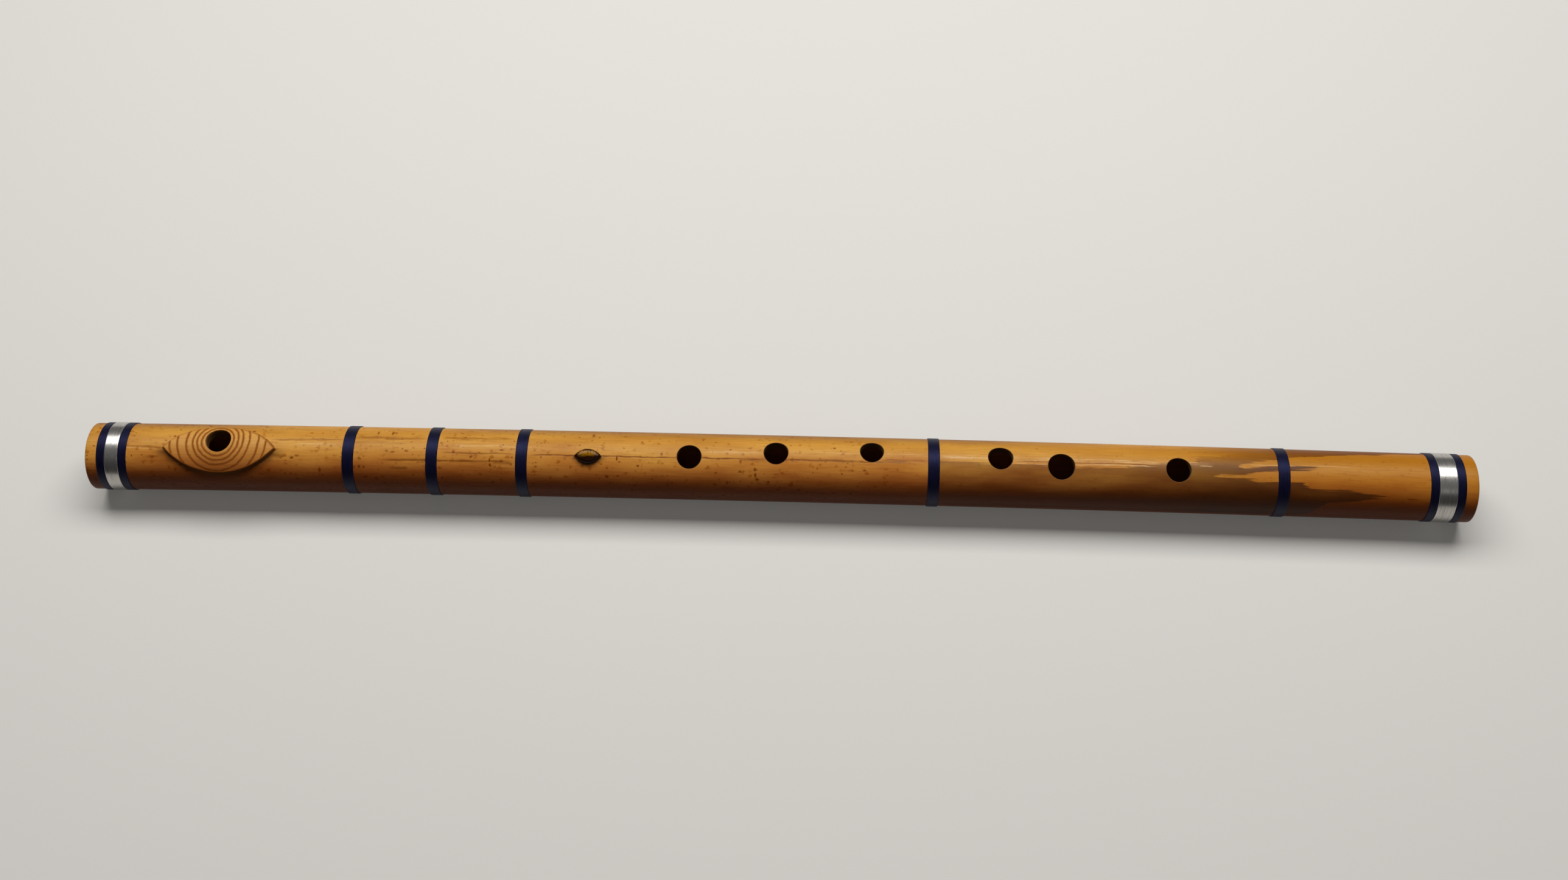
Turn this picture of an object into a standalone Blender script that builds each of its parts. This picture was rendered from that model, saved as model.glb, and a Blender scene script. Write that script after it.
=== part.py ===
"""Bansuri: a six-hole side-blown bamboo flute, 598 mm long and 29 mm across.

The flute lies along X, its head at -X and its foot at +X, and its blowing hole faces +Z.
The player's lips are on the near side, at -Y. The origin is under the middle of the flute,
on the surface that its two metal bands rest on.
"""
import math

import bmesh
import bpy

MM = 0.001

# Bamboo tube
TUBE_LENGTH = 598.0 * MM
TUBE_DIAMETER = 29.0 * MM
WALL = 3.5 * MM                # bamboo between the skin and the bore
TUBE_BOW = 1.75 * MM           # natural bend: mid-length lies this far behind the two ends
RIM_BEVEL = 0.7 * MM           # softened outer edge of both ends
BORE_BEVEL = 0.4 * MM
SEAT_DEPTH = 0.25 * MM         # scraped seats under the bindings and the metal bands
CLEARANCE = 0.3 * MM           # gap between pieces that bear on each other

# Blowing hole
EMBOUCHURE_FROM_HEAD = 58.0 * MM
EMBOUCHURE_LENGTH = 10.8 * MM  # along the flute
EMBOUCHURE_WIDTH = 10.7 * MM   # around it

# Places along the flute, all measured from the blowing hole, on a flute that sounds over this
# length. On a longer or shorter one they move in proportion, because the notes do.
PLACED_FOR = 540.0 * MM        # blowing hole to foot

# Finger holes: distance from the blowing hole, turn towards the far side in degrees, diameter
FINGER_HOLES = (
    (204.1 * MM, -11.0, 10.4 * MM),
    (241.4 * MM, 0.0, 10.4 * MM),
    (282.6 * MM, 7.0, 10.0 * MM),
    (337.7 * MM, 1.5, 10.5 * MM),
    (363.6 * MM, -11.5, 11.3 * MM),
    (413.4 * MM, -11.5, 10.5 * MM),
)

# Almond-shaped lip plate, laid out on the unrolled surface of its top
PLATE_LENGTH = 48.4 * MM
PLATE_WIDTH = 21.9 * MM
PLATE_THICKNESS = 1.5 * MM     # how far its top stands above the bamboo
PLATE_DRAFT = 0.5 * MM         # how far its foot spreads past its top edge
PLATE_PAST_EMBOUCHURE = 0.5 * MM
PLATE_TURN = -12.8             # degrees: it reaches further round on the lip side
PLATE_TIP = 0.3 * MM           # width left at each pointed end

# Stone cabochon, let into a pocket between the bindings and the first finger hole
STONE_PAST_EMBOUCHURE = 160.5 * MM
STONE_TURN = -14.8
STONE_LENGTH = 11.8 * MM
STONE_WIDTH = 6.4 * MM
STONE_HEIGHT = 2.2 * MM        # dome above the bamboo
STONE_POCKET = 1.2 * MM        # depth of the pocket

# Thread bindings along the tube: name and distance of the middle from the blowing hole
BINDING_WIDTH = 5.0 * MM
BINDING_HEIGHT = 0.4 * MM      # crown above the bamboo
BINDING_EDGE = 0.15 * MM       # how much lower its edges are than its crown
TUBE_BINDINGS = (
    ("upper_binding_1", 56.5 * MM),
    ("upper_binding_2", 92.8 * MM),
    ("upper_binding_3", 131.7 * MM),
    ("middle_binding", 309.2 * MM),
    ("lower_binding", 458.0 * MM),
)

# End trims: a metal band between two narrow bindings, near each end
EDGE_BINDING_WIDTH = 3.5 * MM
HEAD_TRIM_FROM_END = 5.0 * MM
HEAD_BAND_WIDTH = 6.0 * MM
FOOT_TRIM_FROM_END = 5.4 * MM
FOOT_BAND_WIDTH = 7.9 * MM
BAND_HEIGHT = 0.5 * MM         # metal above the bamboo
BAND_EDGE = 0.2 * MM           # rounding of a band's rims

# Cork stopper that closes the bore behind the blowing hole
STOPPER_BEHIND_EMBOUCHURE = 17.3 * MM
STOPPER_LENGTH = 25.0 * MM
STOPPER_BEVEL = 1.0 * MM

# Facets
ROUND_STEPS = 48               # around the tube and the metal bands
BINDING_STEPS = 48
HOLE_STEPS = 40
PLATE_STATIONS = 20
PLATE_STEPS = 8
STONE_STEPS = 28
STONE_RINGS = 6
LONGEST_STRETCH = 60.0 * MM    # straight stretch of tube that stands for its slight bend

TUBE_RADIUS = TUBE_DIAMETER / 2
BORE_RADIUS = TUBE_RADIUS - WALL
SEAT_RADIUS = TUBE_RADIUS - SEAT_DEPTH
RING_INNER_RADIUS = SEAT_RADIUS + CLEARANCE
BINDING_RADIUS = TUBE_RADIUS + BINDING_HEIGHT
BAND_RADIUS = TUBE_RADIUS + BAND_HEIGHT
HEAD_END = -TUBE_LENGTH / 2
FOOT_END = TUBE_LENGTH / 2
EMBOUCHURE_X = HEAD_END + EMBOUCHURE_FROM_HEAD
SOUNDING_LENGTH = TUBE_LENGTH - EMBOUCHURE_FROM_HEAD
HEAD_TRIM_WIDTH = HEAD_BAND_WIDTH + 2 * EDGE_BINDING_WIDTH
FOOT_TRIM_WIDTH = FOOT_BAND_WIDTH + 2 * EDGE_BINDING_WIDTH
HEAD_BAND_X = HEAD_END + HEAD_TRIM_FROM_END + HEAD_TRIM_WIDTH / 2
FOOT_BAND_X = FOOT_END - FOOT_TRIM_FROM_END - FOOT_TRIM_WIDTH / 2


def bend(x):
    """How far the tube's axis lies behind its two ends at x: a shallow parabola."""
    return TUBE_BOW * (1 - (2 * x / TUBE_LENGTH) ** 2)


def flat_radius(radius, steps):
    """Distance from the axis to the flat of a ring whose corners lie at radius."""
    return radius * math.cos(math.pi / steps)


def past_embouchure(distance):
    """Station at a distance from the blowing hole, in proportion to the sounding length."""
    return EMBOUCHURE_X + distance * SOUNDING_LENGTH / PLACED_FOR


def binding_places():
    """Name, middle and width of every thread binding."""
    head_step = (HEAD_BAND_WIDTH + EDGE_BINDING_WIDTH) / 2
    foot_step = (FOOT_BAND_WIDTH + EDGE_BINDING_WIDTH) / 2
    places = [
        ("head_outer_binding", HEAD_BAND_X - head_step, EDGE_BINDING_WIDTH),
        ("head_inner_binding", HEAD_BAND_X + head_step, EDGE_BINDING_WIDTH),
    ]
    for name, distance in TUBE_BINDINGS:
        places.append((name, past_embouchure(distance), BINDING_WIDTH))
    places.append(("foot_inner_binding", FOOT_BAND_X - foot_step, EDGE_BINDING_WIDTH))
    places.append(("foot_outer_binding", FOOT_BAND_X + foot_step, EDGE_BINDING_WIDTH))
    return places


def seat_places():
    """Start and end of every scraped seat, from head to foot."""
    seats = [(HEAD_BAND_X, HEAD_TRIM_WIDTH), (FOOT_BAND_X, FOOT_TRIM_WIDTH)]
    for _name, distance in TUBE_BINDINGS:
        seats.append((past_embouchure(distance), BINDING_WIDTH))
    return sorted((x - (w + CLEARANCE) / 2, x + (w + CLEARANCE) / 2) for x, w in seats)


def sideways_shift():
    """Moves the flute along Y so that its box is centred on the origin."""
    rings = [(x, flat_radius(BINDING_RADIUS, BINDING_STEPS)) for _name, x, _width in binding_places()]
    rings += [(x, flat_radius(BAND_RADIUS, ROUND_STEPS)) for x in (HEAD_BAND_X, FOOT_BAND_X)]
    rings += [(x, flat_radius(TUBE_RADIUS, ROUND_STEPS)) for x in (0.0, HEAD_END + RIM_BEVEL)]
    far = max(bend(x) + radius for x, radius in rings)
    near = min(bend(x) - radius for x, radius in rings)
    return -(far + near) / 2


AXIS_SHIFT = sideways_shift()
AXIS_HEIGHT = max(flat_radius(BAND_RADIUS, ROUND_STEPS), flat_radius(BINDING_RADIUS, BINDING_STEPS))


def axis_y(x):
    """Y of the tube's bent axis at x."""
    return bend(x) + AXIS_SHIFT


def material(name, colour, roughness, metallic=0.0):
    """Principled material with a plain colour."""
    made = bpy.data.materials.new(name)
    made.use_nodes = True
    shader = made.node_tree.nodes["Principled BSDF"]
    shader.inputs["Base Color"].default_value = (*colour, 1.0)
    shader.inputs["Roughness"].default_value = roughness
    shader.inputs["Metallic"].default_value = metallic
    return made


def add_object(name, mesh_data, finish, parent, x, turn=0.0):
    """Links a mesh as an object on the tube's axis at x, turned towards the far side."""
    if finish is not None:
        mesh_data.materials.append(finish)
    placed = bpy.data.objects.new(name, mesh_data)
    bpy.context.collection.objects.link(placed)
    placed.parent = parent
    placed.location = (x, axis_y(x), 0.0)
    placed.rotation_euler = (-math.radians(turn), 0.0, 0.0)
    return placed


def loft(name, loops, smooth_angle=30.0):
    """Closed skin over a list of equal loops of points, joined end to end if they form a ring."""
    shape = bmesh.new()
    rows = [[shape.verts.new(point) for point in loop] for loop in loops]
    count = len(rows[0])
    for row, following in zip(rows, rows[1:]):
        for k in range(count):
            after = (k + 1) % count
            shape.faces.new((row[k], row[after], following[after], following[k]))
    for row in (rows[0], rows[-1]):
        half = count // 2
        for k in range(half - 1):
            shape.faces.new((row[k], row[k + 1], row[count - 2 - k], row[count - 1 - k]))
    bmesh.ops.recalc_face_normals(shape, faces=shape.faces)
    skin = bpy.data.meshes.new(name)
    shape.to_mesh(skin)
    shape.free()
    skin.shade_smooth()
    skin.set_sharp_from_angle(angle=math.radians(smooth_angle))
    return skin


def turned(name, outline, steps, centre=lambda x: 0.0):
    """Ring or tube turned from a closed outline of (x, radius), with a flat at its lowest side."""
    shape = bmesh.new()
    rings = []
    for x, radius in outline:
        ring = []
        for k in range(steps):
            angle = (k + 0.5) * 2 * math.pi / steps
            point = (x, centre(x) + radius * math.sin(angle), radius * math.cos(angle))
            ring.append(shape.verts.new(point))
        rings.append(ring)
    for ring, following in zip(rings, rings[1:] + rings[:1]):
        for k in range(steps):
            after = (k + 1) % steps
            shape.faces.new((ring[k], ring[after], following[after], following[k]))
    bmesh.ops.recalc_face_normals(shape, faces=shape.faces)
    skin = bpy.data.meshes.new(name)
    shape.to_mesh(skin)
    shape.free()
    skin.shade_smooth()
    skin.set_sharp_from_angle(angle=math.radians(30.0))
    return skin


def cutter(name, mesh_data, parent, x, turn=0.0):
    """Guide shape that only cuts others."""
    guide = add_object(name, mesh_data, None, parent, x, turn)
    guide.hide_render = True
    guide.display_type = "WIRE"
    return guide


def cut(body, guide):
    """Takes the guide's shape out of the body."""
    step = body.modifiers.new(guide.name, "BOOLEAN")
    step.operation = "DIFFERENCE"
    step.solver = "EXACT"
    step.object = guide


def hole_mesh(name, length, width, top):
    """Upright oval drill, from inside the bore to above the surface."""
    loops = []
    for height in (BORE_RADIUS / 2, top):
        loop = []
        for k in range(HOLE_STEPS):
            angle = (k + 0.5) * 2 * math.pi / HOLE_STEPS
            loop.append((math.cos(angle) * length / 2, math.sin(angle) * width / 2, height))
        loops.append(loop)
    return loft(name, loops)


def navette(length, width, steps):
    """Points of a pointed oval: two arcs of one radius that meet at its ends."""
    arc_radius = (length ** 2 + width ** 2) / (4 * width)
    half_angle = math.asin(length / 2 / arc_radius)
    points = []
    for side in (1, -1):
        for k in range(steps // 2):
            angle = half_angle * (1 - 4 * k / steps)
            x = side * arc_radius * math.sin(angle)
            y = side * (arc_radius * math.cos(angle) - arc_radius + width / 2)
            points.append((x, y))
    return points


def stretches(start, end):
    """Stations from start to end, close enough together to follow the tube's bend."""
    count = max(1, math.ceil((end - start) / LONGEST_STRETCH))
    return [start + (end - start) * k / count for k in range(count + 1)]


def tube_outline():
    """Section of the tube: its outside with the scraped seats, then back along its bore."""
    outside = [(HEAD_END, TUBE_RADIUS - RIM_BEVEL)]
    surface_start = HEAD_END + RIM_BEVEL
    for start, end in seat_places():
        outside += [(x, TUBE_RADIUS) for x in stretches(surface_start, start)]
        outside += [(start, SEAT_RADIUS), (end, SEAT_RADIUS)]
        surface_start = end
    outside += [(x, TUBE_RADIUS) for x in stretches(surface_start, FOOT_END - RIM_BEVEL)]
    outside.append((FOOT_END, TUBE_RADIUS - RIM_BEVEL))
    bore = [(x, BORE_RADIUS) for x in stretches(HEAD_END + BORE_BEVEL, FOOT_END - BORE_BEVEL)]
    bore = [(HEAD_END, BORE_RADIUS + BORE_BEVEL), *bore, (FOOT_END, BORE_RADIUS + BORE_BEVEL)]
    return outside + bore[::-1]


def make_embouchure_drill(parent):
    """One drill cuts the plate and the tube, so their two walls are one chimney."""
    top = TUBE_RADIUS + 2 * PLATE_THICKNESS
    mesh_data = hole_mesh("embouchure_drill", EMBOUCHURE_LENGTH, EMBOUCHURE_WIDTH, top)
    return cutter("embouchure_drill", mesh_data, parent, EMBOUCHURE_X)


def make_tube(parent, finish, embouchure_drill):
    """Bored bamboo with its blowing hole, six finger holes, scraped seats and the stone's pocket."""
    skin = turned("bamboo_tube", tube_outline(), ROUND_STEPS, lambda x: axis_y(x) - axis_y(0.0))
    tube = add_object("bamboo_tube", skin, finish, parent, 0.0)
    cut(tube, embouchure_drill)
    for number, (distance, turn, diameter) in enumerate(FINGER_HOLES, start=1):
        name = f"finger_drill_{number}"
        drill_mesh = hole_mesh(name, diameter, diameter, TUBE_RADIUS + RIM_BEVEL)
        cut(tube, cutter(name, drill_mesh, parent, past_embouchure(distance), turn))
    outline = navette(STONE_LENGTH + 2 * CLEARANCE, STONE_WIDTH + 2 * CLEARANCE, STONE_STEPS)
    floor = TUBE_RADIUS - STONE_POCKET
    loops = [[(x, y, height) for x, y in outline] for height in (floor, TUBE_RADIUS + STONE_POCKET)]
    pocket = loft("stone_pocket", loops)
    cut(tube, cutter("stone_pocket", pocket, parent, past_embouchure(STONE_PAST_EMBOUCHURE), STONE_TURN))
    return tube


def make_lip_plate(parent, finish, embouchure_drill):
    """Almond saddle on the tube: two compass arcs on its unrolled top, with walls cut straight down."""
    top_radius = TUBE_RADIUS + PLATE_THICKNESS
    foot_radius = TUBE_RADIUS + CLEARANCE
    arc_radius = (PLATE_LENGTH ** 2 + PLATE_WIDTH ** 2) / (4 * PLATE_WIDTH)
    stretch = 1 + 2 * PLATE_DRAFT / PLATE_LENGTH
    loops = []
    for k in range(PLATE_STATIONS + 1):
        x = -PLATE_LENGTH / 2 * math.cos(math.pi * k / PLATE_STATIONS)
        half_width = math.sqrt(arc_radius ** 2 - x ** 2) - arc_radius + PLATE_WIDTH / 2
        top_angle = max(half_width, PLATE_TIP / 2) / top_radius
        foot_angle = math.asin((top_radius * math.sin(top_angle) + PLATE_DRAFT) / foot_radius)
        loop = []
        for radius, reach, along in ((top_radius, top_angle, x), (foot_radius, -foot_angle, x * stretch)):
            for j in range(PLATE_STEPS + 1):
                angle = reach * (1 - 2 * j / PLATE_STEPS)
                loop.append((along, radius * math.sin(angle), radius * math.cos(angle)))
        loops.append(loop)
    skin = loft("lip_plate", loops)
    place = EMBOUCHURE_X + PLATE_PAST_EMBOUCHURE
    plate = add_object("lip_plate", skin, finish, parent, place, PLATE_TURN)
    cut(plate, embouchure_drill)
    return plate


def make_stone(parent, finish):
    """Pointed-oval cabochon: a straight girdle in its pocket under an elliptical dome."""
    outline = navette(STONE_LENGTH, STONE_WIDTH, STONE_STEPS)
    foot = TUBE_RADIUS - STONE_POCKET + CLEARANCE
    loops = [[(x, y, foot) for x, y in outline]]
    for k in range(STONE_RINGS + 1):
        rise = math.radians(84.0) * k / STONE_RINGS
        share = math.cos(rise)
        height = TUBE_RADIUS + STONE_HEIGHT * math.sin(rise)
        loops.append([(x * share, y * share, height) for x, y in outline])
    skin = loft("stone_cabochon", loops)
    place = past_embouchure(STONE_PAST_EMBOUCHURE)
    return add_object("stone_cabochon", skin, finish, parent, place, STONE_TURN)


def make_binding(name, x, width, parent, finish):
    """Flat winding of fine thread, lacquered into one band with a low crown."""
    half = (width - CLEARANCE) / 2
    edge = BINDING_RADIUS - BINDING_EDGE
    outline = [
        (-half, RING_INNER_RADIUS),
        (-half, edge),
        (-half / 2, BINDING_RADIUS),
        (half / 2, BINDING_RADIUS),
        (half, edge),
        (half, RING_INNER_RADIUS),
    ]
    return add_object(name, turned(name, outline, BINDING_STEPS), finish, parent, x)


def make_band(name, x, width, parent, finish):
    """Metal ring with softly rounded rims."""
    half = (width - CLEARANCE) / 2
    outline = [
        (-half, RING_INNER_RADIUS),
        (-half, BAND_RADIUS - BAND_EDGE),
        (-half + BAND_EDGE, BAND_RADIUS),
        (half - BAND_EDGE, BAND_RADIUS),
        (half, BAND_RADIUS - BAND_EDGE),
        (half, RING_INNER_RADIUS),
    ]
    return add_object(name, turned(name, outline, ROUND_STEPS), finish, parent, x)


def make_stopper(parent, finish):
    """Cork plug on its own origin, free to be pushed along the bore."""
    radius = BORE_RADIUS - CLEARANCE
    half = STOPPER_LENGTH / 2
    loops = []
    for x, reach in (
        (-half, radius - STOPPER_BEVEL),
        (-half + STOPPER_BEVEL, radius),
        (half - STOPPER_BEVEL, radius),
        (half, radius - STOPPER_BEVEL),
    ):
        loop = []
        for k in range(BINDING_STEPS):
            angle = (k + 0.5) * 2 * math.pi / BINDING_STEPS
            loop.append((x, reach * math.sin(angle), reach * math.cos(angle)))
        loops.append(loop)
    skin = loft("stopper_cork", loops)
    place = EMBOUCHURE_X - STOPPER_BEHIND_EMBOUCHURE - half
    return add_object("stopper_cork", skin, finish, parent, place)


def main():
    """Clears the scene and models the flute."""
    for old in list(bpy.data.objects):
        bpy.data.objects.remove(old, do_unlink=True)

    bamboo = material("varnished_bamboo", (0.56, 0.28, 0.09), 0.32)
    plate_bamboo = material("lip_plate_bamboo", (0.62, 0.33, 0.12), 0.4)
    thread = material("navy_silk_thread", (0.012, 0.012, 0.045), 0.45)
    nickel = material("nickel_silver", (0.66, 0.64, 0.62), 0.22, 1.0)
    stone = material("tiger_eye_stone", (0.05, 0.022, 0.006), 0.12)
    cork = material("cork", (0.42, 0.25, 0.13), 0.85)

    flute_axis = bpy.data.objects.new("flute_axis", None)
    bpy.context.collection.objects.link(flute_axis)
    flute_axis.location = (0.0, 0.0, AXIS_HEIGHT)

    embouchure_drill = make_embouchure_drill(flute_axis)
    make_tube(flute_axis, bamboo, embouchure_drill)
    make_lip_plate(flute_axis, plate_bamboo, embouchure_drill)
    make_stopper(flute_axis, cork)
    make_stone(flute_axis, stone)
    make_band("head_band", HEAD_BAND_X, HEAD_BAND_WIDTH, flute_axis, nickel)
    make_band("foot_band", FOOT_BAND_X, FOOT_BAND_WIDTH, flute_axis, nickel)
    for name, x, width in binding_places():
        make_binding(name, x, width, flute_axis, thread)


main()
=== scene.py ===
# %% [markdown]
# # A bansuri in procedural Blender
# A bansuri is a side-blown bamboo flute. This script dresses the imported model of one. It reads the
# frame, works out every visible surface with numpy, and gives each a node material named for what
# the real thing is made of. All lengths are in metres, and MM turns millimetres into metres.

# %% Load the frame
import math

import bpy
import numpy as np
from mathutils import Matrix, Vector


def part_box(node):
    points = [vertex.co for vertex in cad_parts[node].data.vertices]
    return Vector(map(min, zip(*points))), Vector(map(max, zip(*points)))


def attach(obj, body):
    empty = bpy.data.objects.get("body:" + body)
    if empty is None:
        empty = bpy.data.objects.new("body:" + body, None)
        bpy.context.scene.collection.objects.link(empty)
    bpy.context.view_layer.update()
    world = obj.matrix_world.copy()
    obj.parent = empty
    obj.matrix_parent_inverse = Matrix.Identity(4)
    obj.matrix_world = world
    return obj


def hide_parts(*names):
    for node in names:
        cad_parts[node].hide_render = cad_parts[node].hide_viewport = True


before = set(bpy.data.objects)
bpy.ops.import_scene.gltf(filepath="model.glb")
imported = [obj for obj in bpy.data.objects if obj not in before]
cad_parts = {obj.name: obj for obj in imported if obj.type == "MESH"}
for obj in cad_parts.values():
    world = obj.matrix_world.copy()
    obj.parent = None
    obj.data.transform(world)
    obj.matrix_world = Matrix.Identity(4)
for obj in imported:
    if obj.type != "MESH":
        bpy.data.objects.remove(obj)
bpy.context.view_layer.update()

MM = 0.001
print("nodes in the frame:", len(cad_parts))

# %% [markdown]
# ## A few helpers
# Colours are written as sRGB hex, the way a paint chart or a web page gives them, and one function
# turns them into the linear numbers that a shader wants. One function adds any shader node, and two
# build what most materials repeat: noise drawn out one way, and colours laid over each other.
# Another puts arrays of points and faces into a mesh that rides on a body of the frame.


# %% Helpers for colours, nodes and meshes
def linear(hex_colour):
    """An sRGB hex colour as linear red, green, blue and alpha."""
    parts = [int(hex_colour[k:k + 2], 16) / 255 for k in (1, 3, 5)]
    return (*[p / 12.92 if p <= 0.04045 else ((p + 0.055) / 1.055) ** 2.4 for p in parts], 1.0)


def new_material(name):
    """An empty material and its Principled shader, ready for nodes."""
    made = bpy.data.materials.new(name)
    made.use_nodes = True
    return made, made.node_tree.nodes["Principled BSDF"]


def add(material, kind, inputs, out=0, **settings):
    """Adds one shader node, whose inputs take outputs, hex colours or numbers; gives back one output."""
    node = material.node_tree.nodes.new("ShaderNode" + kind)
    for name, value in settings.items():
        setattr(node, name, value)
    for socket, value in inputs.items():
        if isinstance(value, bpy.types.NodeSocket):
            material.node_tree.links.new(value, node.inputs[socket])
        else:
            node.inputs[socket].default_value = linear(value) if isinstance(value, str) else value
    return node.outputs[out]


def stretched_noise(material, place, ripples, detail, roughness=0.5):
    """Noise with its own number of ripples to the metre in each direction."""
    place = add(material, "Mapping", {"Vector": place, "Scale": ripples})
    settings = {"Vector": place, "Scale": 1.0, "Detail": detail, "Roughness": roughness}
    return add(material, "TexNoise", settings)


def layered(material, colour, *layers):
    """A colour with others laid over it, from first to last: each layer is a blend, a mask, a colour."""
    for blend, mask, tone in layers:
        inputs = {0: mask, 6: colour, 7: tone}
        colour = add(material, "Mix", inputs, 2, data_type="RGBA", blend_type=blend)
    return colour


def finish_shader(material, shader, links, **values):
    """Links outputs to the shader's sockets and sets its plain values, by socket name."""
    for socket, output in links.items():
        material.node_tree.links.new(output, shader.inputs[socket])
    for socket, value in values.items():
        shader.inputs[socket.replace("_", " ")].default_value = value
    print("material", material.name, "with", len(material.node_tree.nodes), "nodes")


def piece(name, points, faces, material, body, uv=None, attributes=None):
    """A smooth mesh from arrays of points and faces, which rides on a body of the frame."""
    skin = bpy.data.meshes.new(name)
    skin.from_pydata(points.reshape(-1, 3).tolist(), [], faces)
    if uv is not None:
        corners = np.empty(len(skin.loops), dtype=np.int32)
        skin.loops.foreach_get("vertex_index", corners)
        skin.uv_layers.new(name="surface").data.foreach_set("uv", unwrapped(skin, uv[corners]).ravel())
    for label, values in (attributes or {}).items():
        layer = skin.attributes.new(label, "FLOAT", "POINT")
        layer.data.foreach_set("value", values.astype(np.float32).ravel())
    skin.shade_smooth()
    skin.set_sharp_from_angle(angle=math.radians(50.0))
    skin.materials.append(material)
    made = bpy.data.objects.new(name, skin)
    bpy.context.collection.objects.link(made)
    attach(made, body)
    print(name, "has", len(skin.polygons), "faces")
    return made


def unwrapped(skin, flat):
    """Corners of a face that lie a whole turn lower than its highest corner move up by that turn."""
    counts = np.empty(len(skin.polygons), dtype=np.int32)
    skin.polygons.foreach_get("loop_total", counts)
    face = np.repeat(np.arange(len(counts)), counts)
    top = np.full(len(counts), -np.inf)
    np.maximum.at(top, face, flat[:, 1])
    turn = 2 * math.pi * TUBE_RADIUS
    flat[:, 1] += turn * (top[face] - flat[:, 1] > turn / 2)
    return flat.astype(np.float32)


# %% [markdown]
# ## Grids that close
# Nearly all the faces here are quads. A ring, such as a band, is a grid that closes both ways: its
# rows follow the closed outline of its section and its columns go round the flute. The quads are
# wound so that their faces point outwards when the rows run from head to foot on the outside.


# %% Quads from numbers
def ring_grid(rows, columns):
    """Vertex numbers of a grid, and its quads, with the last row and column joined to the first."""
    number = np.arange(rows * columns).reshape(rows, columns)
    across = np.roll(number, -1, axis=1)
    corners = [number, np.roll(number, -1, axis=0), np.roll(across, -1, axis=0), across]
    return number, np.stack(corners, axis=-1)


def between(outer, inner):
    """Quads between two closed rings of vertex numbers that turn anticlockwise, seen from outside."""
    return np.stack([outer, np.roll(outer, -1), np.roll(inner, -1), inner], axis=1)


def turned_columns(count):
    """Angles of the columns round the flute, from its underside over the near side and the top."""
    return (np.arange(count) - count // 2) * 2 * math.pi / count


# %% [markdown]
# ## The flute's own line
# Bamboo is never quite straight. The bands and bindings show where the tube's axis runs, so the
# bend is read from the frame: a shallow parabola through the middles of the middle binding and the head
# band.


# %% The bent axis of the tube
def middle(node):
    """Middle of a node's box."""
    low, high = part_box(node)
    return [(a + b) / 2 for a, b in zip(low, high)]


TUBE_RADIUS = 14.5 * MM
BORE_RADIUS = 11.0 * MM
SEAT_DEPTH = 0.25 * MM
CLEARANCE = 0.3 * MM
# A gap too fine to see, which keeps two skins from sharing a surface
HAIR = 0.02 * MM
# How far a row may lie from the place that it is picked by
SLACK = 0.1 * MM
HEAD_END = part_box("bamboo_tube")[0][0]
FOOT_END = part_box("bamboo_tube")[1][0]
AXIS_Z = middle("head_band")[2]
middle_ring = middle("middle_binding")
end_ring = middle("head_band")
CURVE = (end_ring[1] - middle_ring[1]) / (end_ring[0] ** 2 - middle_ring[0] ** 2)
AXIS_Y = middle_ring[1] - CURVE * middle_ring[0] ** 2
print("the middle of the tube lies", round(-CURVE * FOOT_END ** 2 / MM, 2), "mm behind its ends")


def on_tube(x, angle, radius):
    """Points at a station, an angle from the top towards the far side, and a distance from the axis."""
    x, angle, radius = np.broadcast_arrays(x, angle, radius)
    y = AXIS_Y + CURVE * x ** 2 + radius * np.sin(angle)
    return np.stack([x, y, AXIS_Z + radius * np.cos(angle)], axis=-1)


# %% [markdown]
# ## Camera
# The camera stands where the photograph was taken from: on the player's side, looking down at about
# 60 degrees. A small yaw and a small roll come on top of that tilt.

# %% Camera
VIEW_TILT = math.radians(29.6)
VIEW_YAW = math.radians(1.59)
VIEW_ROLL = math.radians(1.357)
camera_data = bpy.data.cameras.new("camera")
camera_data.lens = 40.15
camera_data.sensor_width = 36.0
camera = bpy.data.objects.new("camera", camera_data)
bpy.context.collection.objects.link(camera)
camera.location = (24.55 * MM, -365.4 * MM, 685.2 * MM)
view = Matrix.Rotation(VIEW_TILT, 3, "X") @ Matrix.Rotation(VIEW_YAW, 3, "Y")
view = view @ Matrix.Rotation(VIEW_ROLL, 3, "Z")
camera.rotation_euler = view.to_euler()
bpy.context.scene.camera = camera
bpy.context.scene.view_settings.view_transform = "Standard"
print("camera at", [round(v, 3) for v in camera.location])

# %% [markdown]
# ## Light and floor
# One long softbox hangs above and behind the flute. On a polished cylinder it becomes the bright
# patch on each metal band, and it leaves the near side of the bamboo in deep, warm shade. A dim,
# wide panel overhead gives the metal its mid grey, and a strip on the near side adds the second,
# thin glint. The floor is plain and pale to the eye and in reflections, but light that bounces off
# it finds a dark cloth, so that the flute's underside stays in shade. To the eye the floor also
# glows faintly, which keeps the shadow soft.


# %% Lights
def softbox(name, place, size, power):
    """A rectangular area light at a place, long side along the flute, that faces the flute's middle."""
    lamp = bpy.data.lights.new(name, "AREA")
    lamp.shape = "RECTANGLE"
    lamp.size, lamp.size_y = size
    lamp.energy = power
    box = bpy.data.objects.new(name, lamp)
    bpy.context.collection.objects.link(box)
    box.location = place
    back = np.array(place) / np.linalg.norm(place)
    right = np.cross([0.0, 1.0, 0.0], back)
    right /= np.linalg.norm(right)
    box.rotation_euler = Matrix(np.stack([right, np.cross(back, right), back], axis=1).tolist()).to_euler()
    print(name, "gives", power, "W")


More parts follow.
